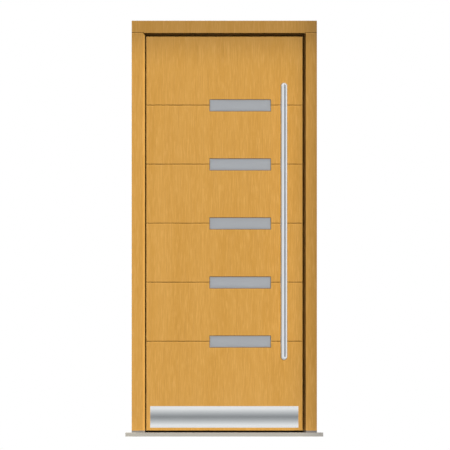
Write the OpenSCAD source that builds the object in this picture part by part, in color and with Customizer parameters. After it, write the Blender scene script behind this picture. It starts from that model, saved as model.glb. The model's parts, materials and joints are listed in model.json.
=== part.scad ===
// Panelled front door with its frame, threshold, hinges, lock and handles.
// X runs to the right seen from outside, Y into the house, Z up.
// The origin is the middle of the threshold's underside, half way through the frame.

/* [Frame] */
// width of the frame across both jambs
frame_w = 1000; // [940:5:1200]
// height from the underside of the threshold to the top of the head
frame_h = 2245; // [2180:5:2500]
// flat face of each jamb, seen from outside
jamb_face = 60; // [50:1:80]
// flat face of the head, seen from outside
head_face = 66; // [50:1:90]
// width of the splay along the frame's inner edge, and of the rebate behind it
splay_w = 12; // [10:1:16]
// depth of the splay
splay_d = 16; // [8:1:18]
// depth from the frame's face to the back of its stop
stop_d = 44; // [40:1:48]
// width of the vee line where the head meets each jamb
vee_w = 6; // [1:0.5:8]
// radius of the fixing holes through the jambs
fix_r = 5.1; // [3:0.1:6]
// radius of the counterbore over each fixing hole
fix_head_r = 8; // [7:0.5:10]
// depth of that counterbore
fix_head_d = 6; // [3:1:12]
// distance of the outer fixing holes from the ends of a jamb
fix_end = 120; // [80:5:140]

/* [Threshold] */
// height of the threshold
sill_h = 22; // [18:1:30]
// how far the nose stands out in front of the frame
sill_front = 30; // [15:1:60]
// how far the nose runs past the frame at each side
sill_horn = 34; // [10:1:60]
// fall of the nose's top towards its front edge
sill_fall = 3; // [1:0.5:6]
// width and depth of the drip groove under the nose
drip = 4; // [2:0.5:6]
// wall of the hollow nose
sill_wall = 4; // [2:0.5:6]
// depth of the insulating core, front to back
sill_core_d = 24; // [16:1:30]
// height of the upstand on the core
upstand_h = 6; // [3:0.5:7]
// thickness of the upstand
upstand_t = 5; // [3:0.5:8]
// height of the foot under each jamb
foot_h = 10; // [6:1:20]

/* [Leaf] */
// thickness of the leaf
leaf_t = 68; // [64:1:80]
// how far the leaf's face stands behind the frame's face
leaf_recess = 18; // [14:1:22]
// gap seen at each side of the leaf
reveal_gap = 6; // [4:0.5:8]
// gap seen above the leaf
head_gap = 8; // [6:0.5:10]
// gap between the threshold and the leaf
floor_gap = 10; // [9:1:14]
// gap between the leaf's edge and the frame's rebate
edge_gap = 4; // [3:0.5:5]
// gap between the frame's stop and the leaf, filled by the seal
seal_gap = 4; // [3:0.5:6]
// thickness of the outer and inner skins
skin_t = 10; // [8:1:12]
// width of each stile, seen from outside
stile_w = 130; // [120:1:140]
// height of the top rail, seen from outside
top_rail_h = 130; // [80:5:180]
// height of the bottom rail
bottom_rail_h = 140; // [100:5:200]
// width of each groove in the outer skin
groove_w = 7; // [4:0.5:10]
// depth of each groove
groove_d = 3.5; // [2:0.5:6]
// height of the lowest groove above the leaf's bottom
groove_low = 480.9; // [400:0.1:520]
// distance of the highest groove from the leaf's top
groove_top = 371.3; // [300:0.1:420]
// eased edge around the outer skin
arris = 1.5; // [0.5:0.5:3]

/* [Windows] */
// width of each slot in the outer skin
pane_w = 332; // [200:1:340]
// height of each slot
pane_h = 65; // [50:1:120]
// distance from the slots to the lock stile
pane_side = 40; // [20:1:120]
// width of the joint around each outer pane
joint_w = 3; // [2:0.5:5]
// how far the outer panes stand behind the skin's face
pane_recess = 2; // [0.5:0.5:3]
// thickness of each pane
pane_t = 6; // [4:1:8]
// distance between the two panes
spacer_d = 12; // [8:1:16]
// width of the spacer seen from the front
spacer_w = 8; // [5:1:12]
// how far the inner pane and the beads reach past the slot
bead_w = 10; // [8:1:14]
// space left around the edge of the inner pane
pane_play = 2; // [1:0.5:4]
// depth of each bead's flat edge beside the glass, before its splay
bead_lip = 10; // [2:1:20]
// width of each bead's flat face towards the room
bead_face = 4; // [2:0.5:8]

/* [Pull bar and kick plate] */
// diameter of the pull bar
bar_d = 38; // [30:1:45]
// wall of the tube
bar_wall = 2; // [1.5:0.5:4]
// length of the pull bar over its caps
bar_len = 1500; // [1000:10:1800]
// length of the plug under each cap
plug_l = 14; // [8:1:25]
// distance of the bar's axis from the leaf's edge, seen from outside
bar_side = 100; // [80:1:110]
// height of the middle of the bar above the middle of the leaf
bar_up = 65.5; // [-100:0.5:100]
// clear space between the bar and the leaf
bar_clear = 45; // [35:1:60]
// diameter of the two posts
post_d = 20; // [14:1:25]
// distance between the posts
post_span = 1200; // [700:10:1300]
// diameter of each post's foot
post_foot_d = 34; // [28:1:44]
// thickness of each post's foot
post_foot_t = 5; // [3:0.5:8]
// radius of the rounded edge of each post's foot
post_foot_edge = 2; // [0.5:0.5:2.5]
// diameter of the stud that holds a post
stud_d = 10; // [6:1:12]
// length of that stud in the leaf
stud_l = 44; // [30:1:50]
// distance from the kick plate to each edge of the leaf
kick_side = 22; // [5:1:80]
// height of the kick plate
kick_h = 116; // [80:1:150]
// height of its lower edge above the leaf's bottom
kick_z = 16; // [8:1:30]
// rise of its bowed face
kick_bow = 7; // [4:0.5:10]
// thickness of its sheet
kick_t = 1.5; // [1:0.5:3]

/* [Hinges] */
// length of each hinge
hinge_l = 110; // [90:2:140]
// length of the leaf's middle knuckle
knuckle_l = 44; // [34:1:50]
// radius of the knuckles
knuckle_r = 10; // [8:0.5:10.5]
// radius of the pins
pin_r = 5; // [4:0.5:6]
// height of the two heads on each pin
pin_head_h = 5; // [3:0.5:8]
// radius of the rounded edge of each pin's heads
pin_head_edge = 2.5; // [0.5:0.5:3]
// distance of the hinge axis from the leaf's inner face
axis_off = 12; // [12:0.5:14]
// width of each hinge plate from the axis
flap_w = 48; // [40:1:52]
// thickness of each hinge plate
flap_t = 4; // [3:0.5:5]
// radius of the outer corners of each hinge plate
flap_round = 8; // [2:1:12]
// distance of the outer hinges from the ends of the leaf
hinge_end = 210; // [180:5:300]

/* [Lock] */
// height of the lever's axis above the leaf's bottom
lever_z = 1018; // [980:1:1060]
// distance of the lever's axis from the edge of the leaf
backset = 65; // [60:1:70]
// distance from the lever's axis down to the cylinder
cyl_drop = 92; // [86:1:96]
// distance of the side bolts from the ends of the faceplate
bolt_end = 110; // [90:5:250]
// width of the faceplate and of the strike plates
plate_w = 24; // [20:1:26]
// thickness of the faceplate and of the strike plates
plate_t = 3; // [2:0.5:4]
// height of the faceplate's lower end above the leaf's bottom
face_low = 168; // [100:1:300]
// distance of the faceplate's upper end from the leaf's top
face_top = 259; // [150:1:400]
// length of the main strike plate
strike_main_l = 200; // [190:2:220]
// length of each side strike plate
strike_side_l = 140; // [120:2:180]
// height of the main lock case
case_h = 190; // [180:1:210]
// depth of the main lock case
case_d = 92; // [88:1:96]
// thickness of every lock case
case_t = 17; // [16:0.5:19]
// height of each side case
side_case_h = 110; // [80:2:140]
// depth of each side case
side_case_d = 50; // [46:1:60]
// thickness of the latch and the deadbolts
bolt_t = 12; // [10:0.5:13]
// height of the latch
latch_h = 22; // [16:1:26]
// how far the latch stands out of the faceplate
latch_out = 12; // [10:0.5:14]
// length of the latch behind the faceplate's front
latch_tail = 34; // [28:1:36]
// height of each deadbolt
bolt_h = 32; // [20:1:36]
// length of each deadbolt
bolt_l = 42; // [38:1:44]
// throw of the deadbolts
bolt_throw = 20; // [14:1:22]
// bevel along the sides of each deadbolt's nose
bolt_nose = 2; // [0.5:0.5:4]

/* [Inside furniture] */
// radius of both roses
rose_r = 26; // [22:0.5:28]
// thickness of both roses
rose_t = 8; // [6:0.5:12]
// radius of the rounded edge of both roses
rose_edge = 3; // [1:0.5:5]
// radius of the lever's bar
lever_r = 9.5; // [8:0.5:11]
// length of the lever from its axis
lever_l = 128; // [100:1:140]
// clear space between the lever and the leaf
lever_clear = 44; // [36:1:60]
// side of the square spindle
spindle_a = 8; // [7:0.5:9]
// length of the spindle inside the lever
spindle_in = 20; // [12:1:30]
// radius of the cylinder's round part
cyl_r = 8.5; // [8:0.1:9]
// height of the cylinder's whole section
cyl_h = 33; // [28:1:34]
// width of the cylinder's lower part
cyl_w = 10; // [8:0.5:11]
// how far the cylinder stands out of its rose
cyl_out = 2; // [1:0.5:4]
// radius of the thumb turn's shaft
turn_r = 4; // [3:0.5:5]
// radius of the thumb turn
knob_r = 15; // [12:0.5:18]
// thickness of the thumb turn's disc
knob_t = 7; // [5:0.5:10]
// radius of the rounded edge of that disc
knob_edge = 2; // [0.5:0.5:4]
// length of the thumb turn's grip
grip_l = 16; // [10:1:22]
// thickness of the thumb turn's grip
grip_t = 9; // [6:0.5:12]

/* [Seals and screws] */
// width of the frame seal's foot
seal_foot_w = 3; // [2:0.5:3]
// depth of the frame seal's foot
seal_foot_d = 5; // [3:0.5:8]
// width of the frame seal's bulb
seal_w = 5; // [4:0.5:5]
// width of the bottom seal's foot
sweep_foot_w = 8; // [6:0.5:12]
// depth of the bottom seal's foot
sweep_foot_h = 8; // [5:0.5:12]
// thickness of each lip of the bottom seal
sweep_lip = 2; // [1.5:0.5:3]
// radius of every screw's shank
screw_r = 2; // [1.5:0.25:2.5]
// radius of every screw's head
screw_head_r = 4; // [3.5:0.25:5]
// thickness of every screw's head
screw_head_t = 1.8; // [1:0.1:1.9]
// length of every screw
screw_l = 28; // [20:1:36]
// distance of each screw from the end of its plate
screw_side = 14; // [10:1:18]

/* [Clearances] */
// radial clearance of a turning fit
fit = 0.05; // [0.02:0.01:0.1]
// clearance between parts that slide or sweep past each other
slide = 0.4; // [0.3:0.1:0.8]
// clearance around a part let into timber
let_in = 0.5; // [0.3:0.1:1]
// open line at each mitre of the glazing beads
mitre_gap = 0.3; // [0.1:0.1:1]

/* [Hidden] */
$fn = 96;
wide_fn = 720;
eps = 0.01;
windows = 5;
hinges = 3;

frame_d = leaf_recess + leaf_t;
y_out = -frame_d / 2;
y_in = frame_d / 2;
jamb_z0 = sill_h + foot_h;
head_z = frame_h - head_face;
jamb_w = jamb_face + splay_w;
rebate_x = frame_w / 2 - jamb_face;
stop_x = rebate_x - splay_w;
stop_y = y_out + stop_d;
stop_z = head_z - splay_w;

leaf_y = y_out + leaf_recess;
core_y = leaf_y + skin_t;
inner_y = y_in - skin_t;
step_y = stop_y + seal_gap;
leaf_z = sill_h + floor_gap;
face_x = stop_x - reveal_gap;
edge_x = rebate_x - edge_gap;
face_z = stop_z - head_gap;
edge_z = head_z - edge_gap;
stile_x = face_x - stile_w;

seal_mid = (edge_gap + splay_w) / 2;
seal_x = rebate_x - seal_mid;
seal_z = head_z - seal_mid;
sweep_y = step_y + sweep_foot_w;
upstand_y = sweep_y - sweep_foot_w / 2 - upstand_t - slide;
core_sill_y = upstand_y - sill_wall;
pane_y = leaf_y + pane_recess;
spacer_y = pane_y + pane_t;
inner_pane_y = spacer_y + spacer_d;
bead_y = inner_pane_y + pane_t;

groove_pitch = (face_z - leaf_z - groove_low - groove_top) / (windows - 1);
pane_mid = stile_x - pane_side - pane_w / 2;

bar_r = bar_d / 2;
bar_x = face_x - bar_side;
bar_y = leaf_y - bar_clear - bar_r;
bar_z = (leaf_z + face_z) / 2 + bar_up;
kick_w = 2 * (face_x - kick_side);
kick_r = (kick_h * kick_h / 4 + kick_bow * kick_bow) / (2 * kick_bow);

hinge_x = -(rebate_x - edge_gap / 2);
hinge_y = y_in + axis_off;
flap_x = knuckle_r + slide;
frame_knuckle_l = (hinge_l - knuckle_l) / 2 - slide;
hinge_lo = leaf_z + hinge_end;
hinge_hi = face_z - hinge_end;

lock_y = (step_y + inner_y) / 2;
lock_x = edge_x - plate_t;
lever_h = leaf_z + lever_z;
cyl_z = lever_h - cyl_drop;
lever_x = edge_x - backset;
lever_y = y_in + rose_t + lever_clear + lever_r;
lock_mid = (lever_h + cyl_z) / 2;
face_lo = leaf_z + face_low;
face_hi = face_z - face_top;
side_bolts = [face_lo + bolt_end, face_hi - bolt_end];
bolts = concat([cyl_z], side_bolts);
turn_y = y_in + rose_t + cyl_out + slide;

fixings = [for (i = [0:3]) jamb_z0 + fix_end + i * (head_z - jamb_z0 - 2 * fix_end) / 3];

timber = [0.83, 0.62, 0.31];
pale_timber = [0.86, 0.72, 0.48];
steel = [0.72, 0.73, 0.74];
glass = [0.65, 0.67, 0.68];
black = [0.1, 0.1, 0.1];
aluminium = [0.73, 0.7, 0.66];
grey = [0.57, 0.53, 0.49];
sealant = [0.45, 0.44, 0.42];

function groove_z(i) = leaf_z + groove_low + (i - 1) * groove_pitch;
function hinge_z(i) = hinge_lo + (i - 1) * (hinge_hi - hinge_lo) / (hinges - 1);

// a box from its low corner to its high corner
module span(lo, hi) {
    translate(lo)
        cube(hi - lo);
}

// a cylinder along Y from y0 to y1
module rod_y(x, z, y0, y1, r) {
    translate([x, y0, z])
        rotate([-90, 0, 0])
            cylinder(h = y1 - y0, r = r);
}

// a cylinder along X from x0 to x1
module rod_x(y, z, x0, x1, r, fn = $fn) {
    translate([x0, y, z])
        rotate([0, 90, 0])
            cylinder(h = x1 - x0, r = r, $fn = fn);
}

// a turned disc along +Z with a rounded edge around its far face
module button(r, h, edge) {
    rotate_extrude() {
        square([r, h - edge]);
        square([r - edge, h]);
        translate([r - edge, h - edge])
            intersection() {
                circle(edge);
                square(edge);
            }
    }
}

// a board from its low corner to its high corner, its outside face eased all round
module eased_board(lo, hi) {
    intersection() {
        translate([0, 0, lo.z])
            linear_extrude(hi.z - lo.z)
                polygon([
                    [lo.x, hi.y],
                    [lo.x, lo.y + arris],
                    [lo.x + arris, lo.y],
                    [hi.x - arris, lo.y],
                    [hi.x, lo.y + arris],
                    [hi.x, hi.y],
                ]);
        translate([lo.x, 0, 0])
            rotate([90, 0, 90])
                linear_extrude(hi.x - lo.x)
                    polygon([
                        [hi.y, lo.z],
                        [lo.y + arris, lo.z],
                        [lo.y, lo.z + arris],
                        [lo.y, hi.z - arris],
                        [lo.y + arris, hi.z],
                        [hi.y, hi.z],
                    ]);
    }
}

// an outline in X and Z drawn through the depth from y0 to y1
module through(y0, y1) {
    translate([0, y1, 0])
        rotate([90, 0, 0])
            linear_extrude(y1 - y0)
                children();
}

// section of a frame member: u from the wall inwards, v from the outside face inwards
module frame_section(face) {
    polygon([
        [0, 0],
        [face, 0],
        [face + splay_w, splay_d],
        [face + splay_w, stop_d],
        [face, stop_d],
        [face, frame_d],
        [0, frame_d],
    ]);
}

// countersunk screw along +X, its head's face at the origin
module screw(grow = 0) {
    rod_x(0, 0, -grow, screw_head_t, screw_head_r + grow);
    rod_x(0, 0, screw_head_t - eps, screw_l + grow, screw_r + grow);
}

// the frame's fixed screws: two in each hinge plate and two in each strike plate
module frame_screw_places(grow = 0) {
    for (i = [1:hinges])
        for (side = [-1, 1])
            translate([hinge_x - flap_w + screw_side, y_in + flap_t, hinge_z(i) + side * hinge_l / 4])
                rotate([0, 0, -90])
                    screw(grow);
    for (side = [-1, 1])
        translate([rebate_x, lock_y, lock_mid + side * (strike_main_l / 2 - screw_side)])
            screw(grow);
    for (z = side_bolts)
        for (side = [-1, 1])
            translate([rebate_x, lock_y, z + side * (strike_side_l / 2 - screw_side)])
                screw(grow);
}

// the leaf's fixed screws: two in each hinge plate and four in the faceplate
module leaf_screw_places(grow = 0) {
    for (i = [1:hinges])
        for (side = [-1, 1])
            translate([hinge_x + flap_w - screw_side, y_in + flap_t, hinge_z(i) + side * hinge_l / 4])
                rotate([0, 0, -90])
                    screw(grow);
    for (z = [
        face_lo + screw_side,
        lock_mid - case_h / 2 - screw_side,
        lock_mid + case_h / 2 + screw_side,
        face_hi - screw_side,
    ])
        translate([edge_x, lock_y, z])
            rotate([0, 0, 180])
                screw(grow);
}

// foot of the frame seal, also cut as its groove
module seal_feet() {
    for (side = [-1, 1])
        span(
            [side * seal_x - seal_foot_w / 2, stop_y - seal_foot_d, jamb_z0],
            [side * seal_x + seal_foot_w / 2, stop_y, seal_z]
        );
    span(
        [-seal_x - seal_foot_w / 2, stop_y - seal_foot_d, seal_z - seal_foot_w / 2],
        [seal_x + seal_foot_w / 2, stop_y, seal_z + seal_foot_w / 2]
    );
}

// one jamb on the left: the face ends square under the head and the splay is mitred
module jamb_blank() {
    intersection() {
        translate([-frame_w / 2, y_out, jamb_z0])
            linear_extrude(head_z - jamb_z0)
                frame_section(jamb_face);
        through(y_out, y_in)
            polygon([
                [-frame_w / 2, jamb_z0],
                [-stop_x, jamb_z0],
                [-stop_x, stop_z],
                [-rebate_x, head_z],
                [-frame_w / 2, head_z],
            ]);
    }
}

// vee line across the outside face at each joint of the head and a jamb
module joint_vees() {
    for (side = [0, 1])
        mirror([side, 0, 0])
            translate([-frame_w / 2 - eps, y_out, head_z])
                rotate([0, 90, 0])
                    linear_extrude(jamb_face + vee_w)
                        polygon([
                            [-vee_w / 2 - eps, -eps],
                            [0, vee_w / 2],
                            [vee_w / 2 + eps, -eps],
                        ]);
}

// fixing holes through a jamb, towards the side given
module fixing_holes(side) {
    for (z = fixings) {
        x0 = side > 0 ? rebate_x - eps : -frame_w / 2 - eps;
        x1 = side > 0 ? frame_w / 2 + eps : -rebate_x + eps;
        rod_x(lock_y, z, x0, x1, fix_r);
        if (side > 0)
            rod_x(lock_y, z, x0, rebate_x + fix_head_d, fix_head_r);
        else
            rod_x(lock_y, z, -rebate_x - fix_head_d, x1, fix_head_r);
    }
}

module hinge_jamb() {
    color(timber)
        difference() {
            jamb_blank();
            joint_vees();
            seal_feet();
            fixing_holes(-1);
            frame_screw_places(slide / 4);
        }
}

module lock_jamb() {
    color(timber)
        difference() {
            mirror([1, 0, 0])
                jamb_blank();
            joint_vees();
            seal_feet();
            fixing_holes(1);
            strike_blanks(let_in);
            strike_pockets();
            frame_screw_places(slide / 4);
        }
}

module head() {
    color(timber)
        difference() {
            intersection() {
                translate([-frame_w / 2, 0, frame_h])
                    rotate([0, 90, 0])
                        linear_extrude(frame_w)
                            translate([0, y_out])
                                frame_section(head_face);
                through(y_out, y_in)
                    polygon([
                        [-frame_w / 2, head_z],
                        [-rebate_x, head_z],
                        [-stop_x, stop_z],
                        [stop_x, stop_z],
                        [rebate_x, head_z],
                        [frame_w / 2, head_z],
                        [frame_w / 2, frame_h],
                        [-frame_w / 2, frame_h],
                    ]);
            }
            joint_vees();
            seal_feet();
        }
}

module jamb_feet() {
    color(grey)
        for (side = [0, 1])
            mirror([side, 0, 0])
                translate([-frame_w / 2, y_out, sill_h])
                    linear_extrude(foot_h)
                        frame_section(jamb_face);
}

// outer aluminium rail with a falling top, a drip groove, a hollow chamber and a tongue slot
module sill_nose() {
    nose_y = y_out - sill_front;
    color(aluminium)
        difference() {
            union() {
                translate([-frame_w / 2 - sill_horn, 0, 0])
                    rotate([90, 0, 90])
                        linear_extrude(frame_w + 2 * sill_horn)
                            polygon([
                                [nose_y, 0],
                                [y_out, 0],
                                [y_out, sill_h],
                                [nose_y, sill_h - sill_fall],
                            ]);
                span([-frame_w / 2, y_out - eps, 0], [frame_w / 2, core_sill_y, sill_h]);
            }
            span(
                [-frame_w / 2 - sill_horn - eps, nose_y + drip, -eps],
                [frame_w / 2 + sill_horn + eps, nose_y + 2 * drip, drip]
            );
            span(
                [-frame_w / 2 - eps, y_out + sill_wall, sill_wall],
                [frame_w / 2 + eps, core_sill_y - 2 * sill_wall, sill_h - sill_wall]
            );
            span(
                [-frame_w / 2 - eps, core_sill_y - sill_wall, sill_h / 3],
                [frame_w / 2 + eps, core_sill_y + eps, 2 * sill_h / 3]
            );
        }
}

// insulating core with a tongue to each side and the upstand that the bottom seal closes on
module sill_core() {
    color(black) {
        span([-frame_w / 2, core_sill_y, 0], [frame_w / 2, core_sill_y + sill_core_d, sill_h]);
        span(
            [-frame_w / 2, core_sill_y - sill_wall, sill_h / 3],
            [frame_w / 2, core_sill_y + sill_core_d + sill_wall, 2 * sill_h / 3]
        );
        span([-stop_x, upstand_y, sill_h - eps], [stop_x, upstand_y + upstand_t, sill_h + upstand_h]);
    }
}

module sill_rail() {
    color(aluminium)
        difference() {
            span([-frame_w / 2, core_sill_y + sill_core_d, 0], [frame_w / 2, y_in, sill_h]);
            span(
                [-frame_w / 2 - eps, core_sill_y + sill_core_d - eps, sill_h / 3],
                [frame_w / 2 + eps, core_sill_y + sill_core_d + sill_wall, 2 * sill_h / 3]
            );
        }
}

// section of the seal's bulb: flat on the stop, round towards the leaf
module bulb_section() {
    bulb_r = seal_w / 2;
    flat = max(seal_gap - slide - bulb_r, eps);
    translate([-bulb_r, 0])
        square([seal_w, flat]);
    intersection() {
        translate([0, seal_gap - slide - bulb_r])
            circle(bulb_r);
        translate([-bulb_r, 0])
            square([seal_w, seal_gap]);
    }
}

module frame_seal() {
    color(black) {
        seal_feet();
        for (side = [-1, 1])
            translate([side * seal_x, stop_y, jamb_z0])
                linear_extrude(seal_z - jamb_z0)
                    bulb_section();
        translate([-seal_x - seal_w / 2, stop_y, seal_z])
            rotate([0, 90, 0])
                linear_extrude(2 * seal_x + seal_w)
                    bulb_section();
    }
}

// outlines of the three strike plates, grown to cut their beds
module strike_blanks(grow = 0) {
    bed = grow > 0 ? eps : 0;
    for (s = [[lock_mid, strike_main_l], [side_bolts[0], strike_side_l], [side_bolts[1], strike_side_l]])
        span(
            [rebate_x - bed, lock_y - plate_w / 2 - grow, s[0] - s[1] / 2 - grow],
            [rebate_x + plate_t, lock_y + plate_w / 2 + grow, s[0] + s[1] / 2 + grow]
        );
}

// room for the latch and the deadbolts behind the strike plates
module strike_pockets() {
    play = 2 * slide;
    reach = bolt_throw - edge_gap + play + plate_t;
    for (z = bolts)
        span(
            [rebate_x - eps, lock_y - bolt_t / 2 - play, z - bolt_h / 2 - play],
            [rebate_x + reach, lock_y + bolt_t / 2 + play, z + bolt_h / 2 + play]
        );
    span(
        [rebate_x - eps, lock_y - bolt_t / 2 - play, lever_h - latch_h / 2 - play],
        [rebate_x + reach, lock_y + bolt_t / 2 + play, lever_h + latch_h / 2 + play]
    );
}

module strike_plates() {
    color(steel)
        difference() {
            strike_blanks();
            strike_pockets();
            frame_screw_places(slide / 4);
        }
}

module frame_screws() {
    color(steel)
        frame_screw_places();
}

// outline of a hinge plate to the right of the axis, round at its outer corners
module flap_outline() {
    mid = flap_w - flap_round;
    translate([flap_x, -hinge_l / 2])
        square([mid - flap_x, hinge_l]);
    translate([flap_x, flap_round - hinge_l / 2])
        square([flap_w - flap_x, hinge_l - 2 * flap_round]);
    for (side = [-1, 1])
        translate([mid, side * (hinge_l / 2 - flap_round)])
            circle(flap_round);
}

// one half of a hinge: plate on the timber, web and knuckles, for the side given
module hinge_half(i, side, knuckles) {
    z = hinge_z(i);
    difference() {
        union() {
            translate([hinge_x, 0, z])
                mirror([side > 0 ? 0 : 1, 0, 0])
                    through(y_in, y_in + flap_t)
                        flap_outline();
            for (k = knuckles) {
                translate([hinge_x, hinge_y, z + k[0]])
                    cylinder(h = k[1], r = knuckle_r);
                span(
                    [side > 0 ? hinge_x + edge_gap : hinge_x - flap_x - eps, y_in, z + k[0]],
                    [side > 0 ? hinge_x + flap_x + eps : hinge_x - edge_gap, hinge_y, z + k[0] + k[1]]
                );
            }
        }
        translate([hinge_x, hinge_y, z - hinge_l])
            cylinder(h = 2 * hinge_l, r = pin_r + fit);
    }
}

module frame_hinge(i) {
    ends = [[-hinge_l / 2, frame_knuckle_l], [knuckle_l / 2 + slide, frame_knuckle_l]];
    color(steel)
        difference() {
            hinge_half(i, -1, ends);
            frame_screw_places(slide / 4);
        }
}

module leaf_hinge(i) {
    color(steel)
        difference() {
            hinge_half(i, 1, [[-knuckle_l / 2, knuckle_l]]);
            leaf_screw_places(slide / 4);
        }
}

module hinge_pin(i) {
    color(steel)
        translate([hinge_x, hinge_y, hinge_z(i) - hinge_l / 2]) {
            translate([0, 0, -eps])
                cylinder(h = hinge_l + 2 * eps, r = pin_r);
            translate([0, 0, hinge_l])
                button(knuckle_r, pin_head_h, pin_head_edge);
            mirror([0, 0, 1])
                button(knuckle_r, pin_head_h, pin_head_edge);
        }
}

// slot of window i, grown all round, from y0 to y1
module slot(i, grow, y0, y1) {
    span(
        [pane_mid - pane_w / 2 - grow, y0, groove_z(i) - pane_h / 2 - grow],
        [pane_mid + pane_w / 2 + grow, y1, groove_z(i) + pane_h / 2 + grow]
    );
}

// holes through the lock side of the leaf for the spindle and the cylinder
module lock_holes(y0, y1) {
    rod_y(lever_x, lever_h, y0, y1, spindle_a);
    cylinder_section(y0, y1, slide);
}

// studs of the pull bar's posts, also cut as their holes
module studs(y0, r) {
    for (side = [-1, 1])
        rod_y(bar_x, bar_z + side * post_span / 2, y0, leaf_y + stud_l, r);
}

module outer_skin() {
    color(timber)
        difference() {
            eased_board([-face_x, leaf_y, leaf_z], [face_x, core_y, face_z]);
            for (i = [1:windows]) {
                slot(i, 0, leaf_y - eps, core_y + eps);
                translate([-face_x - eps, leaf_y, groove_z(i)])
                    rotate([90, 0, 90])
                        linear_extrude(2 * face_x + 2 * eps)
                            polygon([
                                [-eps, -groove_w / 2],
                                [groove_d, -groove_w / 7],
                                [groove_d, groove_w / 7],
                                [-eps, groove_w / 2],
                            ]);
            }
            studs(leaf_y - eps, stud_d / 2);
        }
}

module inner_skin() {
    color(timber)
        difference() {
            span([-edge_x, inner_y, leaf_z], [edge_x, y_in, edge_z]);
            for (i = [1:windows])
                slot(i, bead_w, inner_y - eps, y_in + eps);
            lock_holes(inner_y - eps, y_in + eps);
            leaf_screw_places(slide / 4);
        }
}

// section of a stile: narrow behind the outer skin, wide behind the step
module stile_section() {
    polygon([
        [stile_x, core_y],
        [face_x, core_y],
        [face_x, step_y],
        [edge_x, step_y],
        [edge_x, inner_y],
        [stile_x, inner_y],
    ]);
}

// a stile on the right: the step runs on over its top
module stile_blank() {
    difference() {
        translate([0, 0, leaf_z])
            linear_extrude(edge_z - leaf_z)
                stile_section();
        span([stile_x - eps, core_y - eps, face_z], [edge_x + eps, step_y, edge_z + eps]);
        sweep_groove();
    }
}

module hinge_stile() {
    color(timber)
        difference() {
            mirror([1, 0, 0])
                stile_blank();
            leaf_screw_places(slide / 4);
        }
}

module lock_stile() {
    color(timber)
        difference() {
            stile_blank();
            faceplate_blank(let_in);
            case_blanks(let_in);
            lock_holes(lock_y, inner_y + eps);
            studs(core_y - eps, stud_d / 2);
            leaf_screw_places(slide / 4);
        }
}

module top_rail() {
    color(timber)
        difference() {
            span([-stile_x, core_y, face_z - top_rail_h], [stile_x, inner_y, edge_z]);
            span([-stile_x - eps, core_y - eps, face_z], [stile_x + eps, step_y, edge_z + eps]);
        }
}

module bottom_rail() {
    color(timber)
        difference() {
            span([-stile_x, core_y, leaf_z], [stile_x, inner_y, leaf_z + bottom_rail_h]);
            sweep_groove();
        }
}

// timber core with a stepped opening for each glass unit
module core() {
    color(pale_timber)
        difference() {
            span([-stile_x, core_y, leaf_z + bottom_rail_h], [stile_x, inner_y, face_z - top_rail_h]);
            for (i = [1:windows]) {
                slot(i, 0, core_y - eps, inner_pane_y + eps);
                slot(i, bead_w, inner_pane_y, inner_y + eps);
            }
        }
}

module outer_pane(i) {
    color(glass)
        slot(i, -joint_w, pane_y, spacer_y);
}

module inner_pane(i) {
    color(glass)
        slot(i, bead_w - pane_play, inner_pane_y, bead_y);
}

// sealant joint between each outer pane and the skin
module pane_joints() {
    color(sealant)
        for (i = [1:windows])
            difference() {
                slot(i, 0, pane_y, spacer_y);
                slot(i, -joint_w, pane_y - eps, spacer_y + eps);
            }
}

module spacers() {
    color(black)
        for (i = [1:windows])
            difference() {
                slot(i, -joint_w, spacer_y, inner_pane_y);
                slot(i, -joint_w - spacer_w, spacer_y - eps, inner_pane_y + eps);
            }
}

// one bead along X above the slot's edge, splayed towards the room, with mitred ends
module bead_run(half, gap) {
    intersection() {
        translate([-half - bead_w, 0, 0])
            rotate([90, 0, 90])
                linear_extrude(2 * (half + bead_w))
                    polygon([
                        [bead_y, 0],
                        [bead_y + bead_lip, 0],
                        [y_in, bead_w - bead_face],
                        [y_in, bead_w],
                        [bead_y, bead_w],
                    ]);
        through(bead_y, y_in)
            polygon([
                [gap - half, 0],
                [half - gap, 0],
                [half + bead_w - gap, bead_w],
                [gap - half - bead_w, bead_w],
            ]);
    }
}

// four mitred beads that hold one glass unit from the inside
module beads(i) {
    color(timber)
        translate([pane_mid, 0, groove_z(i)])
            for (side = [0, 1]) {
                mirror([0, 0, side])
                    translate([0, 0, pane_h / 2])
                        bead_run(pane_w / 2, mitre_gap);
                mirror([side, 0, 0])
                    translate([pane_w / 2, 0, 0])
                        rotate([0, 90, 0])
                            bead_run(pane_h / 2, 0);
            }
}

// bowed pan: a shallow arc across its height with closed ends
module kick_plate() {
    z = leaf_z + kick_z + kick_h / 2;
    y = leaf_y - kick_bow + kick_r;
    color(steel)
        difference() {
            intersection() {
                rod_x(y, z, -kick_w / 2, kick_w / 2, kick_r, wide_fn);
                span(
                    [-kick_w / 2, leaf_y - kick_bow, z - kick_h / 2],
                    [kick_w / 2, leaf_y, z + kick_h / 2]
                );
            }
            intersection() {
                rod_x(y, z, -kick_w / 2 + kick_t, kick_w / 2 - kick_t, kick_r - kick_t, wide_fn);
                span(
                    [-kick_w / 2 + kick_t, leaf_y - kick_bow, z - kick_h / 2],
                    [kick_w / 2 - kick_t, leaf_y + eps, z + kick_h / 2]
                );
            }
        }
}

module pull_bar() {
    color(steel)
        translate([bar_x, bar_y, bar_z - bar_len / 2 + bar_r])
            difference() {
                cylinder(h = bar_len - 2 * bar_r, r = bar_r);
                translate([0, 0, -eps])
                    cylinder(h = bar_len, r = bar_r - bar_wall);
            }
}

// cap: half a ball on a plug that goes into the tube
module bar_cap() {
    translate([0, 0, -plug_l])
        cylinder(h = plug_l + eps, r = bar_r - bar_wall - fit);
    rotate_extrude()
        intersection() {
            circle(bar_r);
            square(bar_r);
        }
}

module bar_caps() {
    color(steel)
        for (side = [0, 1])
            translate([bar_x, bar_y, bar_z])
                mirror([0, 0, side])
                    translate([0, 0, bar_len / 2 - bar_r])
                        bar_cap();
}

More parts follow.
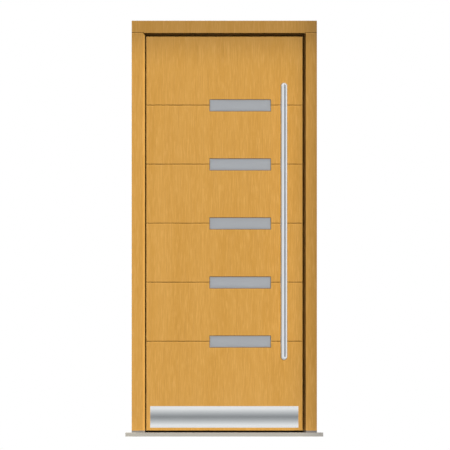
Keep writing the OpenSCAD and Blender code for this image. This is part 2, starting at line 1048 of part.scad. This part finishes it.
// posts saddled to the tube, each with a foot on the skin and a stud in the stile
module bar_posts() {
    color(steel)
        difference() {
            union() {
                for (side = [-1, 1]) {
                    rod_y(bar_x, bar_z + side * post_span / 2, bar_y, leaf_y, post_d / 2);
                    translate([bar_x, leaf_y, bar_z + side * post_span / 2])
                        rotate([90, 0, 0])
                            button(post_foot_d / 2, post_foot_t, post_foot_edge);
                }
                studs(leaf_y - eps, stud_d / 2);
            }
            translate([bar_x, bar_y, bar_z - bar_len / 2])
                cylinder(h = bar_len, r = bar_r);
        }
}

// long faceplate in the leaf's edge, grown to cut its bed
module faceplate_blank(grow = 0) {
    bed = grow > 0 ? eps : 0;
    span(
        [lock_x, lock_y - plate_w / 2 - grow, face_lo - grow],
        [edge_x + bed, lock_y + plate_w / 2 + grow, face_hi + grow]
    );
}

// the channels that the latch and the deadbolts slide in
module bolt_channels() {
    for (z = bolts)
        span(
            [edge_x - bolt_l - slide, lock_y - bolt_t / 2 - slide, z - bolt_h / 2 - slide],
            [edge_x + eps, lock_y + bolt_t / 2 + slide, z + bolt_h / 2 + slide]
        );
    latch_end = edge_x - latch_tail - latch_out;
    span(
        [latch_end - slide, lock_y - bolt_t / 2 - slide, lever_h - latch_h / 2 - slide],
        [edge_x + eps, lock_y + bolt_t / 2 + slide, lever_h + latch_h / 2 + slide]
    );
}

module faceplate() {
    color(steel)
        difference() {
            faceplate_blank();
            bolt_channels();
            leaf_screw_places(slide / 4);
        }
}

// outlines of the three lock cases, grown to cut their mortises
module case_blanks(grow = 0) {
    span(
        [lock_x - case_d - grow, lock_y - case_t / 2 - grow, lock_mid - case_h / 2 - grow],
        [lock_x + (grow > 0 ? eps : 0), lock_y + case_t / 2 + grow, lock_mid + case_h / 2 + grow]
    );
    for (z = side_bolts)
        span(
            [lock_x - side_case_d - grow, lock_y - case_t / 2 - grow, z - side_case_h / 2 - grow],
            [lock_x + (grow > 0 ? eps : 0), lock_y + case_t / 2 + grow, z + side_case_h / 2 + grow]
        );
}

module lock_cases() {
    color(steel)
        difference() {
            case_blanks();
            bolt_channels();
            lock_holes(lock_y - case_t, lock_y + case_t);
        }
}

module leaf_screws() {
    color(steel)
        leaf_screw_places();
}

// profile cylinder's section: round above, narrow slab below
module cylinder_section(y0, y1, grow = 0) {
    rod_y(lever_x, cyl_z, y0, y1, cyl_r + grow);
    span(
        [lever_x - cyl_w / 2 - grow, y0, cyl_z + cyl_r - cyl_h + cyl_w / 2],
        [lever_x + cyl_w / 2 + grow, y1, cyl_z]
    );
    rod_y(lever_x, cyl_z + cyl_r - cyl_h + cyl_w / 2, y0, y1, cyl_w / 2 + grow);
}

// a rose on the leaf's inner face at the height given
module rose_blank(z) {
    translate([lever_x, y_in, z])
        rotate([-90, 0, 0])
            button(rose_r, rose_t, rose_edge);
}

module lever_rose() {
    color(steel)
        difference() {
            rose_blank(lever_h);
            rod_y(lever_x, lever_h, y_in - eps, y_in + rose_t + eps, lever_r + fit);
        }
}

module turn_rose() {
    color(steel)
        difference() {
            rose_blank(cyl_z - (cyl_h / 2 - cyl_r));
            cylinder_section(y_in - eps, y_in + rose_t + eps);
        }
}

module cylinder_lock() {
    color(steel)
        difference() {
            cylinder_section(lock_y, y_in + rose_t + cyl_out);
            rod_y(lever_x, cyl_z, lock_y + bolt_t / 2, turn_y, turn_r + fit);
        }
}

module bottom_seal() {
    lip_y = (sweep_foot_w - sweep_lip) / 2;
    color(black) {
        sweep_groove();
        for (side = [-1, 1])
            span(
                [-edge_x, sweep_y + side * lip_y - sweep_lip / 2, sill_h + slide],
                [edge_x, sweep_y + side * lip_y + sweep_lip / 2, leaf_z + eps]
            );
    }
}

// groove along the leaf's bottom, filled by the bottom seal's foot
module sweep_groove() {
    span(
        [-edge_x, sweep_y - sweep_foot_w / 2, leaf_z],
        [edge_x, sweep_y + sweep_foot_w / 2, leaf_z + sweep_foot_h]
    );
}

// round lever bent once, with a ball at the bend and at its end
module lever() {
    color(steel)
        difference() {
            union() {
                rod_y(lever_x, lever_h, y_in + slide, lever_y, lever_r);
                rod_x(lever_y, lever_h, lever_x - lever_l + lever_r, lever_x, lever_r);
                for (x = [lever_x, lever_x - lever_l + lever_r])
                    translate([x, lever_y, lever_h])
                        sphere(lever_r);
            }
            spindle_bar(y_in + slide - eps, y_in + rose_t + spindle_in);
        }
}

module spindle_bar(y0, y1) {
    span(
        [lever_x - spindle_a / 2, y0, lever_h - spindle_a / 2],
        [lever_x + spindle_a / 2, y1, lever_h + spindle_a / 2]
    );
}

module spindle() {
    color(steel)
        spindle_bar(lock_y - case_t / 2, y_in + rose_t + spindle_in);
}

// latch with its slope on the side that meets the frame first
module latch() {
    color(steel)
        translate([edge_x, lock_y, lever_h - latch_h / 2])
            linear_extrude(latch_h)
                polygon([
                    [-latch_tail, -bolt_t / 2],
                    [0, -bolt_t / 2],
                    [latch_out, bolt_t / 4],
                    [latch_out, bolt_t / 2],
                    [-latch_tail, bolt_t / 2],
                ]);
}

module deadbolts() {
    color(steel)
        for (z = bolts)
            translate([edge_x, lock_y, z - bolt_h / 2])
                linear_extrude(bolt_h)
                    polygon([
                        [-bolt_l, -bolt_t / 2],
                        [-bolt_nose, -bolt_t / 2],
                        [0, bolt_nose - bolt_t / 2],
                        [0, bolt_t / 2 - bolt_nose],
                        [-bolt_nose, bolt_t / 2],
                        [-bolt_l, bolt_t / 2],
                    ]);
}

module thumb_turn() {
    color(steel) {
        rod_y(lever_x, cyl_z, lock_y + bolt_t / 2 + slide, turn_y + eps, turn_r);
        translate([lever_x, turn_y, cyl_z])
            rotate([-90, 0, 0])
                button(knob_r, knob_t, knob_edge);
        intersection() {
            rod_y(lever_x, cyl_z, turn_y, turn_y + knob_t + grip_l, knob_r);
            span(
                [lever_x - grip_t / 2, turn_y, cyl_z - knob_r],
                [lever_x + grip_t / 2, turn_y + knob_t + grip_l, cyl_z + knob_r]
            );
        }
    }
}

hinge_jamb();
lock_jamb();
head();
jamb_feet();
sill_nose();
sill_core();
sill_rail();
frame_seal();
strike_plates();
frame_screws();
for (i = [1:hinges]) {
    frame_hinge(i);
    hinge_pin(i);
    leaf_hinge(i);
}
outer_skin();
inner_skin();
hinge_stile();
lock_stile();
top_rail();
bottom_rail();
core();
for (i = [1:windows]) {
    outer_pane(i);
    inner_pane(i);
    beads(i);
}
pane_joints();
spacers();
kick_plate();
pull_bar();
bar_caps();
bar_posts();
faceplate();
lock_cases();
leaf_screws();
lever_rose();
turn_rose();
cylinder_lock();  // cylinder
bottom_seal();
lever();
spindle();
latch();
thumb_turn();
deadbolts();
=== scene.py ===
import json
import math

import bmesh
import bpy
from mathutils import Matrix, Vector


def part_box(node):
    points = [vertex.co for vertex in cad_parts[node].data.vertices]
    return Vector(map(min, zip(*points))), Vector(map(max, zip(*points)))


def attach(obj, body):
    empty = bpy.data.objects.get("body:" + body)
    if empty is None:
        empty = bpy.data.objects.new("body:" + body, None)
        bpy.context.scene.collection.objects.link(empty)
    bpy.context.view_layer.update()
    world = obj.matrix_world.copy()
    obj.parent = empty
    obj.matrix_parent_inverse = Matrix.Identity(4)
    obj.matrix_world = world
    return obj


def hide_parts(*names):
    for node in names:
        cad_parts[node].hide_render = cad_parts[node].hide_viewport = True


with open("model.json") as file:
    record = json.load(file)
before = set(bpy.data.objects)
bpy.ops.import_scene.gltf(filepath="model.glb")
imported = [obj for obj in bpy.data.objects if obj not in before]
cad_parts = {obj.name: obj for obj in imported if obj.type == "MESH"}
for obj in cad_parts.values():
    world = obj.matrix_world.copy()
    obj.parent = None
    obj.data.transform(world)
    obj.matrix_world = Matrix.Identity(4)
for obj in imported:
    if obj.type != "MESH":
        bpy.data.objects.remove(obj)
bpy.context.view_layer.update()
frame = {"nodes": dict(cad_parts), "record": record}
nodes = frame["nodes"]
scene = bpy.context.scene
scene.view_settings.view_transform = "Standard"
white = (1, 1, 1, 1)
print("frame loaded:", len(nodes), "pieces")

# camera, upright and square on to the outside face
photoView = {"width": 2.4293, "across": 0.0038, "height": 1.142, "away": 6.0, "tilt": 90}


def addCamera():
    lens = bpy.data.cameras.new("photoCamera")
    lens.type = "ORTHO"
    lens.ortho_scale = photoView["width"]
    camera = bpy.data.objects.new("photoCamera", lens)
    camera.location = (photoView["across"], -photoView["away"], photoView["height"])
    camera.rotation_euler = (math.radians(photoView["tilt"]), 0, 0)
    scene.collection.objects.link(camera)
    scene.camera = camera


# node trees: each node takes its links and its values in one call
def put(tree, kind, inputs=None, **settings):
    node = tree.nodes.new("ShaderNode" + kind)
    for key, value in settings.items():
        setattr(node, key, value)
    for socket, value in (inputs or {}).items():
        if isinstance(value, bpy.types.NodeSocket):
            tree.links.new(value, node.inputs[socket])
        else:
            node.inputs[socket].default_value = value
    return node


mixShare, mixFirst, mixSecond, mixResult = 0, 6, 7, 2  # sockets of a Mix node set to colours


def mixColours(tree, share, first, second):
    node = put(tree, "Mix", {mixShare: share, mixFirst: first, mixSecond: second}, data_type="RGBA")
    return node.outputs[mixResult]


def ramp(tree, value, low, high, toLow=0.0, toHigh=1.0):
    node = put(tree, "MapRange", {"Value": value, "From Min": low, "From Max": high,
                                  "To Min": toLow, "To Max": toHigh})
    return node.outputs["Result"]


def stretchedNoise(tree, place, scale, detail):
    spread = put(tree, "VectorMath", {0: place, 1: scale}, operation="MULTIPLY")
    noise = put(tree, "TexNoise", {"Vector": spread.outputs[0], "Scale": 1.0, "Detail": detail})
    return noise.outputs[0]


# pattern groups: a place and some colours in, colour, roughness and bump height out
patternGives = {"Color": "Color", "Roughness": "Float", "Height": "Float"}
noiseLow, noiseHigh = 0.3, 0.7  # most noise values lie between these


def startGroup(name, takes):
    tree = bpy.data.node_groups.new(name, "ShaderNodeTree")
    for socket, kind in takes.items():
        tree.interface.new_socket(socket, in_out="INPUT", socket_type="NodeSocket" + kind)
    for socket, kind in patternGives.items():
        tree.interface.new_socket(socket, in_out="OUTPUT", socket_type="NodeSocket" + kind)
    start = tree.nodes.new("NodeGroupInput")
    end = tree.nodes.new("NodeGroupOutput")
    return tree, start.outputs, end.inputs


def finishGroup(tree, ends, colour, roughness, height):
    tree.links.new(colour, ends["Color"])
    tree.links.new(roughness, ends["Roughness"])
    tree.links.new(height, ends["Height"])
    return tree


# each kind of mark is a stretched noise that mixes one of the group's colours into its tone
def layMarks(tree, given, marks):
    noises, tone = {}, given["Tone"]
    for name, mark in marks.items():
        noises[name] = stretchedNoise(tree, given["Place"], mark["scale"], mark["detail"])
        share = ramp(tree, noises[name], mark["from"], mark["to"], 0.0, mark["share"])
        tone = mixColours(tree, share, tone, given[mark["colour"]])
    return tone, noises


# straight grain along Z: broad figure, short light flecks, thin streaks and fine pores
grainMarks = {
    "figure": {"scale": (17, 17, 1.3), "detail": 3.0, "from": 0.3, "to": 0.7,
               "colour": "Fleck", "share": 0.34},
    "flecks": {"scale": (270, 270, 16), "detail": 1.0, "from": 0.5, "to": 0.7,
               "colour": "Fleck", "share": 0.7},
    "streaks": {"scale": (330, 330, 6), "detail": 2.0, "from": 0.5, "to": 0.72,
                "colour": "Pore", "share": 0.3},
    "pores": {"scale": (1500, 1500, 50), "detail": 1.0, "from": 0.6, "to": 0.7,
              "colour": "Pore", "share": 0.3},
}
grainRoughness = (0.46, 0.36)  # between the flecks and on them


def makeTimberGrain():
    tree, given, ends = startGroup(
        "timberGrain", {"Place": "Vector", "Tone": "Color", "Fleck": "Color", "Pore": "Color"})
    tone, noises = layMarks(tree, given, grainMarks)
    rough = ramp(tree, noises["flecks"], noiseLow, noiseHigh, *grainRoughness)
    pores = grainMarks["pores"]
    height = ramp(tree, noises["pores"], pores["from"], pores["to"], 1.0, 0.0)
    return finishGroup(tree, ends, tone, rough, height)


# long fine scratches along X with a little clouding
brushMarks = {
    "lines": {"scale": (6, 900, 900), "detail": 2.0, "from": 0.35, "to": 0.75,
              "colour": "Shade", "share": 0.45},
    "clouds": {"scale": (5, 14, 14), "detail": 2.0, "from": 0.4, "to": 0.8,
               "colour": "Shade", "share": 0.25},
}
brushRoughness = (0.94, 1.06)  # the gloss is taken off these


def makeBrushedLines():
    tree, given, ends = startGroup(
        "brushedLines", {"Place": "Vector", "Tone": "Color", "Shade": "Color", "Gloss": "Float"})
    tone, noises = layMarks(tree, given, brushMarks)
    dull = ramp(tree, noises["lines"], noiseLow, noiseHigh, *brushRoughness)
    rough = put(tree, "Math", {0: dull, 1: given["Gloss"]}, operation="SUBTRACT")
    return finishGroup(tree, ends, tone, rough.outputs[0], noises["lines"])


# moulded or etched surface: fine speckle over slow clouding
speckleMarks = {
    "speckle": {"scale": (1100, 1100, 1100), "detail": 2.0, "from": 0.4, "to": 0.75,
                "colour": "Shade", "share": 0.5},
    "clouds": {"scale": (11, 11, 11), "detail": 3.0, "from": 0.35, "to": 0.7,
               "colour": "Shade", "share": 0.35},
}
speckleRoughness = (0.5, 0.68)


def makeFineSpeckle():
    tree, given, ends = startGroup("fineSpeckle", {"Place": "Vector", "Tone": "Color", "Shade": "Color"})
    tone, noises = layMarks(tree, given, speckleMarks)
    rough = ramp(tree, noises["speckle"], noiseLow, noiseHigh, *speckleRoughness)
    return finishGroup(tree, ends, tone, rough, noises["speckle"])


timberGrain = makeTimberGrain()
brushedLines = makeBrushedLines()
fineSpeckle = makeFineSpeckle()
print("grain, brushing and speckle groups built")

bumpDepth = 0.0002  # metres, at full strength
quarterTurn = (0, 90, 0)  # swaps a pattern's X and Z


# a material around one of the groups: colours in, the shader's plain values set on it
def makeFinish(name, group, colours, turn=(0, 0, 0), shift=(0, 0, 0), gloss=None, bump=0.1,
               linkRoughness=True, **plain):
    material = bpy.data.materials.new(name)
    material.use_nodes = True
    tree = material.node_tree
    shader = tree.nodes["Principled BSDF"]
    where = put(tree, "TexCoord")
    turned = put(tree, "Mapping", {"Vector": where.outputs["Object"], "Location": shift,
                                   "Rotation": [math.radians(angle) for angle in turn]})
    pattern = tree.nodes.new("ShaderNodeGroup")
    pattern.node_tree = group
    tree.links.new(turned.outputs[0], pattern.inputs["Place"])
    for socket, colour in colours.items():
        pattern.inputs[socket].default_value = (*colour, 1.0)
    if gloss is not None:
        pattern.inputs["Gloss"].default_value = gloss
    tree.links.new(pattern.outputs["Color"], shader.inputs["Base Color"])
    if linkRoughness:
        tree.links.new(pattern.outputs["Roughness"], shader.inputs["Roughness"])
    dents = put(tree, "Bump", {"Height": pattern.outputs["Height"], "Strength": bump,
                               "Distance": bumpDepth})
    tree.links.new(dents.outputs[0], shader.inputs["Normal"])
    for socket, value in plain.items():
        shader.inputs[socket.replace("_", " ")].default_value = value
    return material


timber = {
    "Tone": (0.61, 0.312, 0.063), "Fleck": (0.735, 0.405, 0.110), "Pore": (0.42, 0.195, 0.034),
}
paleTimber = {
    "Tone": (0.66, 0.42, 0.16), "Fleck": (0.76, 0.52, 0.24), "Pore": (0.45, 0.26, 0.09),
}

finishes = {
    "leaf_timber": makeFinish("leafTimber", timberGrain, timber, Specular_IOR_Level=0.2),
    "frame_timber": makeFinish("frameTimber", timberGrain, timber, shift=(0.37, 0.2, 1.3),
                               Specular_IOR_Level=0.2),
    "cross_timber": makeFinish("crossTimber", timberGrain, timber, turn=quarterTurn,
                               shift=(0.6, 0.1, 0.3), Specular_IOR_Level=0.2),
    "core_timber": makeFinish("coreTimber", timberGrain, paleTimber, shift=(0.11, 0.5, 0.7),
                              Specular_IOR_Level=0.15),
    "satin_glass": makeFinish("satinGlass", fineSpeckle,
                              {"Tone": (0.459, 0.475, 0.499), "Shade": (0.425, 0.441, 0.467)},
                              bump=0.15, Transmission_Weight=0.3, IOR=1.45),
    "clear_glass": makeFinish("clearGlass", fineSpeckle,
                              {"Tone": (0.86, 0.92, 0.90), "Shade": (0.83, 0.9, 0.88)},
                              bump=0.01, linkRoughness=False, Roughness=0.02,
                              Transmission_Weight=1.0, IOR=1.45),
    "seal_rubber": makeFinish("sealRubber", fineSpeckle,
                              {"Tone": (0.012, 0.012, 0.012), "Shade": (0.022, 0.021, 0.02)},
                              bump=0.2, Specular_IOR_Level=0.25),
    "joint_sealant": makeFinish("jointSealant", fineSpeckle,
                                {"Tone": (0.16, 0.155, 0.14), "Shade": (0.13, 0.126, 0.115)},
                                bump=0.2, Specular_IOR_Level=0.25),
    "sill_metal": makeFinish("sillMetal", brushedLines,
                             {"Tone": (0.545, 0.51, 0.445), "Shade": (0.48, 0.448, 0.388)},
                             gloss=0.5, Metallic=0.4),
    "sill_plastic": makeFinish("sillPlastic", fineSpeckle,
                               {"Tone": (0.028, 0.025, 0.021), "Shade": (0.036, 0.032, 0.028)}),
    "foot_plastic": makeFinish("footPlastic", fineSpeckle,
                               {"Tone": (0.237, 0.215, 0.19), "Shade": (0.205, 0.186, 0.164)}),
    "spacer_plastic": makeFinish("spacerPlastic", fineSpeckle,
                                 {"Tone": (0.05, 0.05, 0.05), "Shade": (0.035, 0.035, 0.035)}),
    "lock_steel": makeFinish("lockSteel", brushedLines,
                             {"Tone": (0.6, 0.6, 0.61), "Shade": (0.48, 0.49, 0.5)},
                             turn=quarterTurn, gloss=0.7, Metallic=1.0),
    "screw_steel": makeFinish("screwSteel", brushedLines,
                              {"Tone": (0.62, 0.62, 0.62), "Shade": (0.5, 0.5, 0.5)},
                              gloss=0.72, Metallic=1.0),
    "cylinder_metal": makeFinish("cylinderMetal", brushedLines,
                                 {"Tone": (0.66, 0.63, 0.57), "Shade": (0.55, 0.52, 0.46)},
                                 gloss=0.72, Metallic=1.0),
    "kick_steel": makeFinish("kickSteel", brushedLines,
                             {"Tone": (0.785, 0.798, 0.8), "Shade": (0.695, 0.712, 0.718)},
                             gloss=0.84, Metallic=1.0),
    "stainless": makeFinish("stainless", brushedLines,
                            {"Tone": (0.785, 0.805, 0.82), "Shade": (0.695, 0.722, 0.745)},
                            turn=quarterTurn, gloss=0.82, Metallic=0.7),
}

crossGrained = ("top_rail", "bottom_rail", "beads")  # pieces whose grain runs along X
# as in the soft light of the photo: no shadows on the leaf, no orange glow in the gap round it
shadeless = ("pull_bar", "bar_caps", "bar_posts", "kick_plate")
bounceless = ("outer_skin", "hinge_jamb", "lock_jamb", "head")


def dressNodes():
    for part in frame["record"]["subparts"]:
        finish = part["material_slot"]
        if part["node"].startswith(crossGrained):
            finish = "cross_timber"
        mesh = nodes[part["node"]].data
        mesh.materials.clear()
        mesh.materials.append(finishes[finish])
    for name in shadeless:
        nodes[name].visible_shadow = False
    for name in bounceless:
        nodes[name].visible_diffuse = False


# white room for camera, gloss and glass, a low even level for soft light
room = {"ambient": 0.034, "background": 1.0}


def addWorld():
    world = bpy.data.worlds.new("whiteRoom")
    scene.world = world
    world.use_nodes = True
    tree = world.node_tree
    rays = put(tree, "LightPath").outputs
    seen = put(tree, "Math", {0: rays["Is Camera Ray"], 1: rays["Is Glossy Ray"]}, operation="MAXIMUM")
    seen = put(tree, "Math", {0: seen.outputs[0], 1: rays["Is Transmission Ray"]}, operation="MAXIMUM")
    level = ramp(tree, seen.outputs[0], 0, 1, room["ambient"], room["background"])
    background = tree.nodes["Background"]
    background.inputs["Color"].default_value = white
    tree.links.new(level, background.inputs["Strength"])


lamps = {
    "keyLamp": {"towards": (0.483, -0.604, 0.634), "strength": 5.13, "softness": 14},
    "backLamp": {"towards": (-0.45, 0.75, 0.5), "strength": 3.3, "softness": 30},
    "sideLamp": {"towards": (-0.9, 0.25, 0.35), "strength": 2.0, "softness": 30},
}
lampDistance = 5


def addLamps():
    for name, lamp in lamps.items():
        light = bpy.data.lights.new(name, "SUN")
        light.energy = lamp["strength"]
        light.angle = math.radians(lamp["softness"])
        holder = bpy.data.objects.new(name, light)
        holder.rotation_mode = "QUATERNION"
        holder.rotation_quaternion = Vector(lamp["towards"]).to_track_quat("Z", "Y")
        holder.location = Vector(lamp["towards"]) * lampDistance
        holder.visible_glossy = False
        scene.collection.objects.link(holder)


def addSheet(name, corners, material):
    mesh = bpy.data.meshes.new(name)
    mesh.from_pydata([Vector(corner) for corner in corners], [], [range(len(corners))])
    sheet = bpy.data.objects.new(name, mesh)
    mesh.materials.append(material)
    scene.collection.objects.link(sheet)
    return sheet


# the floor turns into the white background with its distance from the door
floor = {"size": 14.0, "drop": 0.0005, "tone": (0.45, 0.445, 0.435), "paleFrom": 1.2, "whiteFrom": 4.5}


def fadeToWhite(tree):
    plain = tree.nodes["Principled BSDF"].outputs[0]
    reach = put(tree, "VectorMath", {0: put(tree, "TexCoord").outputs["Object"]}, operation="LENGTH")
    share = ramp(tree, reach.outputs["Value"], floor["paleFrom"], floor["whiteFrom"])
    glow = put(tree, "Emission", {"Strength": room["background"]})
    both = put(tree, "MixShader", {0: share, 1: plain, 2: glow.outputs[0]})
    tree.links.new(both.outputs[0], tree.nodes["Material Output"].inputs["Surface"])


def addFloor():
    half, low = floor["size"] / 2, -floor["drop"]
    corners = [(-half, -half, low), (half, -half, low), (half, half, low), (-half, half, low)]
    material = makeFinish("paleFloor", fineSpeckle, {"Tone": floor["tone"], "Shade": floor["tone"]},
                          Specular_IOR_Level=0.1)
    fadeToWhite(material.node_tree)
    sheet = addSheet("floor", corners, material)
    sheet.visible_diffuse = False
    sheet.visible_glossy = False


def hideSheet(sheet, gloss, shadow):
    sheet.visible_camera = False
    sheet.visible_diffuse = False
    sheet.visible_transmission = False
    sheet.visible_glossy = gloss
    sheet.visible_shadow = shadow


# glowing grey cards that only gloss sees, painting dark reflections into the metal: before the kick
# plate, beside the bar and behind the room side
plateCard = {"before": 0.208, "wide": 4.0, "reach": 0.128, "dark": 0.305, "bright": 1.06,
             "tint": (0.955, 1.0, 1.035, 1.0)}
roomCard = {"behind": 2.157, "wide": 6.4, "low": -1.6, "high": 3.4, "dark": 0.36, "bright": 1.0,
            "tint": white}
barCards = {
    "barCardRight": {"from": 3, "to": 66, "away": 0.3, "over": 0.6, "under": 0.04, "level": 0.085},
    "barCardLeft": {"from": -72, "to": -100, "away": 0.6, "over": 0.08, "under": 0.08, "level": 0.56},
}
displayGamma = 2.2
evenAlong = 1e6  # a reach so long that the card doesn't change that way


# a sheet that glows evenly, or in even steps from dark at its middle to bright all round
def makeGlow(name, dark, bright=None, middle=(0, 0, 0), reach=(1, 1, 1), tint=white):
    material = bpy.data.materials.new(name)
    material.use_nodes = True
    tree = material.node_tree
    tree.nodes.clear()
    glow = put(tree, "Emission", {"Strength": dark})
    if bright is not None:
        where = put(tree, "VectorMath", {0: put(tree, "TexCoord").outputs["Object"], 1: middle},
                    operation="SUBTRACT")
        share = put(tree, "VectorMath", {0: where.outputs[0], 1: reach}, operation="DIVIDE")
        apart = put(tree, "VectorMath", {0: share.outputs[0]}, operation="LENGTH")
        steps = ramp(tree, apart.outputs["Value"], 0, 1, dark ** (1 / displayGamma),
                     bright ** (1 / displayGamma))
        level = put(tree, "Math", {0: steps, 1: displayGamma}, operation="POWER")
        tree.links.new(level.outputs[0], glow.inputs["Strength"])
        outward = ramp(tree, apart.outputs["Value"], 0, 1)
        tree.links.new(mixColours(tree, outward, tint, white), glow.inputs["Color"])
    put(tree, "OutputMaterial", {"Surface": glow.outputs[0]})
    return material


# an upright card across the way, darkest at its middle
def addCard(name, card, y, z0, z1, reach):
    half, middle = card["wide"] / 2, (z0 + z1) / 2
    glow = makeGlow(name, card["dark"], card["bright"], (0, y, middle), reach, card["tint"])
    sheet = addSheet(name, [(-half, y, z0), (half, y, z0), (half, y, z1), (-half, y, z1)], glow)
    hideSheet(sheet, gloss=True, shadow=False)


def addPlateCard():
    low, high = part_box("kick_plate")
    y, middle, reach = low.y - plateCard["before"], (low.z + high.z) / 2, plateCard["reach"]
    addCard("plateCard", plateCard, y, middle - reach, middle + reach, (evenAlong, 1, reach))


def addRoomCard():
    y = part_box("head")[1].y + roomCard["behind"]
    z0, z1 = roomCard["low"], roomCard["high"]
    addCard("roomCard", roomCard, y, z0, z1, (roomCard["wide"] / 2, 1, (z1 - z0) / 2))


# each card spans two angles around the bar, counted from straight in front of it
def addBarCards():
    low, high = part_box("pull_bar")
    middle = (low + high) / 2
    for name, card in barCards.items():
        ends = []
        for angle in (math.radians(card["from"]), math.radians(card["to"])):
            ends.append(middle + card["away"] * Vector((math.sin(angle), -math.cos(angle), 0)))
        z0, z1 = low.z - card["under"], high.z + card["over"]
        corners = [(ends[0].x, ends[0].y, z0), (ends[1].x, ends[1].y, z0),
                   (ends[1].x, ends[1].y, z1), (ends[0].x, ends[0].y, z1)]
        sheet = addSheet(name, corners, makeGlow(name, card["level"]))
        hideSheet(sheet, gloss=True, shadow=False)


# thin bluish nets that take a little of the key lamp off the head and the right jamb
nets = {"before": 0.33, "underHead": 0.061, "topLets": 0.71, "pastJamb": 0.027, "sideLets": 0.60,
        "wide": 0.4, "tint": (1.0, 1.02, 1.15)}


def makeNetCloth(name, lets):
    material = bpy.data.materials.new(name)
    material.use_nodes = True
    tree = material.node_tree
    tree.nodes.clear()
    cloth = put(tree, "BsdfTransparent", {"Color": (*[lets * share for share in nets["tint"]], 1.0)})
    put(tree, "OutputMaterial", {"Surface": cloth.outputs[0]})
    return material


# the edges are set from head and jamb, then carried back along the key lamp's light
def addNets():
    head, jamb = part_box("head")[0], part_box("lock_jamb")[0]
    right, front, up = lamps["keyLamp"]["towards"]
    y, run = head.y - nets["before"], nets["before"] / -front
    z, x = head.z - nets["underHead"] + run * up, jamb.x + nets["pastJamb"] + run * right
    z1, x1 = z + nets["wide"], x + nets["wide"]
    top = addSheet("topNet", [(-x1, y, z), (x1, y, z), (x1, y, z1), (-x1, y, z1)],
                   makeNetCloth("topNet", nets["topLets"]))
    side = addSheet("sideNet", [(x, y, 0), (x1, y, 0), (x1, y, z1), (x, y, z1)],
                    makeNetCloth("sideNet", nets["sideLets"]))
    hideSheet(top, gloss=False, shadow=True)
    hideSheet(side, gloss=False, shadow=True)


# star-recess countersunk screws, set where the plain ones are and as long as they are
screw = {"sides": 48, "recess": 0.0017, "lobe": 0.0003, "lobes": 6, "deep": 0.0012, "taper": 0.85,
         "edge": 0.0002, "rim": 0.0005, "coneEnd": 0.0024, "core": 0.78, "pitch": 0.0016,
         "groove": 0.0004, "crease": 35}
sameSpot, sameFace = 1e-6, 1e-5  # how near points are to count as one spot or one face


def findSolids(node):
    shape = bmesh.new()
    shape.from_mesh(nodes[node].data)
    bmesh.ops.remove_doubles(shape, verts=shape.verts, dist=sameSpot)
    solids, seen = [], set()
    for first in shape.verts:
        if first in seen:
            continue
        seen.add(first)
        reached = [first]
        for vert in reached:
            for edge in vert.link_edges:
                other = edge.other_vert(vert)
                if other not in seen:
                    seen.add(other)
                    reached.append(other)
        solids.append([vert.co.copy() for vert in reached])
    shape.free()
    return solids


# middle of the head's face, the way in, the head's radius, the shank's radius and the length
def measureScrew(points):
    low = Vector([min(point[axis] for point in points) for axis in range(3)])
    high = Vector([max(point[axis] for point in points) for axis in range(3)])
    span, middle = high - low, (low + high) / 2
    axis = max(range(3), key=lambda index: span[index])
    ends = {}
    for end in (low[axis], high[axis]):
        centre = middle.copy()
        centre[axis] = end
        onFace = [point for point in points if abs(point[axis] - end) < sameFace]
        ends[end] = max((point - centre).length for point in onFace)
    face = max(ends, key=ends.get)
    start, inward = middle.copy(), Vector((0, 0, 0))
    start[axis] = face
    inward[axis] = 1.0 if face == low[axis] else -1.0
    return start, inward, max(ends.values()), min(ends.values()), span[axis]


# depth, radius and whether the ring has lobes, from the recess's floor to the tip
def screwRings(head, shank, length):
    rings = [(screw["deep"], screw["taper"], True), (0.0, 1.0, True), (0.0, head - screw["edge"], False),
             (screw["edge"], head, False), (screw["rim"], head, False), (screw["coneEnd"], shank, False)]
    depth = screw["coneEnd"] + screw["pitch"]
    while depth < length - screw["pitch"]:
        rings.append((depth, shank - screw["groove"], False))
        rings.append((depth + screw["pitch"] / 2, shank, False))
        depth += screw["pitch"]
    return rings + [(length, shank * screw["core"], False)]


def addScrew(shape, points):
    start, inward, head, shank, length = measureScrew(points)
    side = Vector((0, 0, 1))
    across = inward.cross(side)
    loops = []
    for depth, size, lobed in screwRings(head, shank, length):
        loop = []
        for step in range(screw["sides"]):
            angle = 2 * math.pi * step / screw["sides"]
            reach = size
            if lobed:  # a share of the recess's own outline
                reach = size * (screw["recess"] + screw["lobe"] * math.cos(screw["lobes"] * angle))
            spot = start + inward * depth + reach * (math.cos(angle) * side + math.sin(angle) * across)
            loop.append(shape.verts.new(spot))
        loops.append(loop)
    for near, away in zip(loops, loops[1:]):
        for step in range(screw["sides"]):
            after = (step + 1) % screw["sides"]
            shape.faces.new((near[step], near[after], away[after], away[step])).smooth = True
    shape.faces.new(loops[0])
    shape.faces.new(loops[-1])


def addScrews(name, node, body):
    shape = bmesh.new()
    for points in findSolids(node):
        addScrew(shape, points)
    bmesh.ops.recalc_face_normals(shape, faces=shape.faces)
    mesh = bpy.data.meshes.new(name)
    shape.to_mesh(mesh)
    shape.free()
    mesh.set_sharp_from_angle(angle=math.radians(screw["crease"]))
    mesh.materials.append(finishes["screw_steel"])
    piece = bpy.data.objects.new(name, mesh)
    scene.collection.objects.link(piece)
    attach(piece, body)
    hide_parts(node)


addCamera()
addWorld()
addLamps()
addFloor()
addPlateCard()
addBarCards()
addRoomCard()
addNets()
print("camera, room, lamps and cards set")
dressNodes()
addScrews("frameScrews", "frame_screws", "frame")
addScrews("leafScrews", "leaf_screws", "leaf")
print("finishes and screws set")
